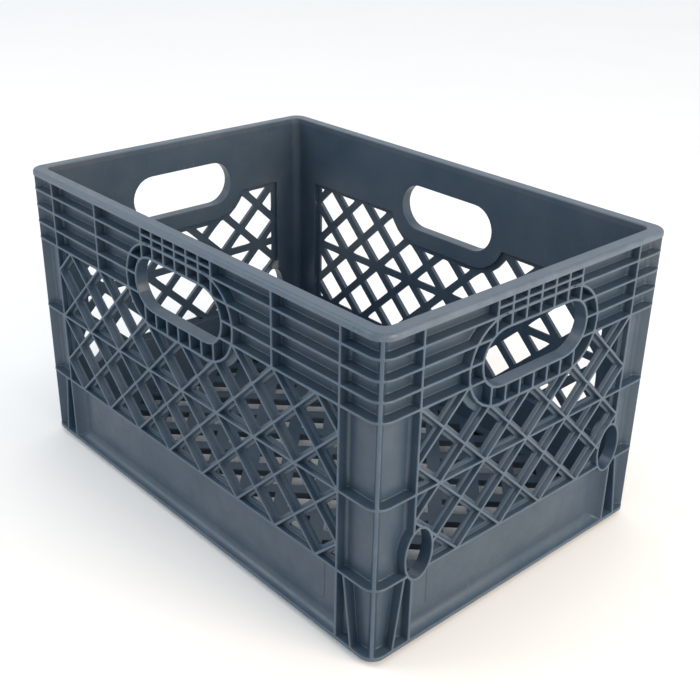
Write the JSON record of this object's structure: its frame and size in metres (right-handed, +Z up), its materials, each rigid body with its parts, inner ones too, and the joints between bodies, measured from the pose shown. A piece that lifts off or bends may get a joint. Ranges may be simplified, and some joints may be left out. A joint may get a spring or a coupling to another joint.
{
  "type": "milk bottle crate",
  "caption": "Rectangular open-top dairy crate with diamond lattice walls, ribbed upper band, four oblong hand grips, plain skirt and stacking foot.",
  "frame": {"origin": "middle of the footprint, on the ground under the stacking foot", "axes": "+X along the long side, +Y along the short side, +Z up; the crate is the same from the front and back, and from the left and right"},
  "size_m": [0.48, 0.328, 0.28],
  "materials": {
    "crate_body": "satin moulded polyethylene, dark slate blue-grey, scuffed",
    "crate_rim": "the same plastic, polished and greyed by handling along the rim",
    "crate_ribs": "the same plastic, worn paler along the rib edges"
  },
  "bodies": {
    "root": {"corner_foot_back_left": "crate_body", "corner_foot_back_right": "crate_body", "corner_foot_front_left": "crate_body", "corner_foot_front_right": "crate_body", "corner_post_back_left": "crate_body", "corner_post_back_right": "crate_body", "corner_post_front_left": "crate_body", "corner_post_front_right": "crate_body", "floor_grid": "crate_body", "hand_grip_back": "crate_ribs", "hand_grip_front": "crate_ribs", "hand_grip_left": "crate_ribs", "hand_grip_right": "crate_ribs", "oval_sleeve_left_left": "crate_ribs", "oval_sleeve_left_right": "crate_ribs", "oval_sleeve_right_left": "crate_ribs", "oval_sleeve_right_right": "crate_ribs", "rim_back": "crate_rim", "rim_corner_back_left": "crate_rim", "rim_corner_back_right": "crate_rim", "rim_corner_front_left": "crate_rim", "rim_corner_front_right": "crate_rim", "rim_front": "crate_rim", "rim_left": "crate_rim", "rim_right": "crate_rim", "side_lattice_back": "crate_ribs", "side_lattice_front": "crate_ribs", "side_lattice_left": "crate_ribs", "side_lattice_right": "crate_ribs", "skirt_back": "crate_body", "skirt_front": "crate_body", "skirt_left": "crate_body", "skirt_right": "crate_body", "stacking_rail_back": "crate_body", "stacking_rail_front": "crate_body", "stacking_rail_left": "crate_body", "stacking_rail_right": "crate_body", "upper_band_back_left": "crate_ribs", "upper_band_back_right": "crate_ribs", "upper_band_front_left": "crate_ribs", "upper_band_front_right": "crate_ribs", "upper_band_left_left": "crate_ribs", "upper_band_left_right": "crate_ribs", "upper_band_right_left": "crate_ribs", "upper_band_right_right": "crate_ribs"}
  },
  "joints": []
}
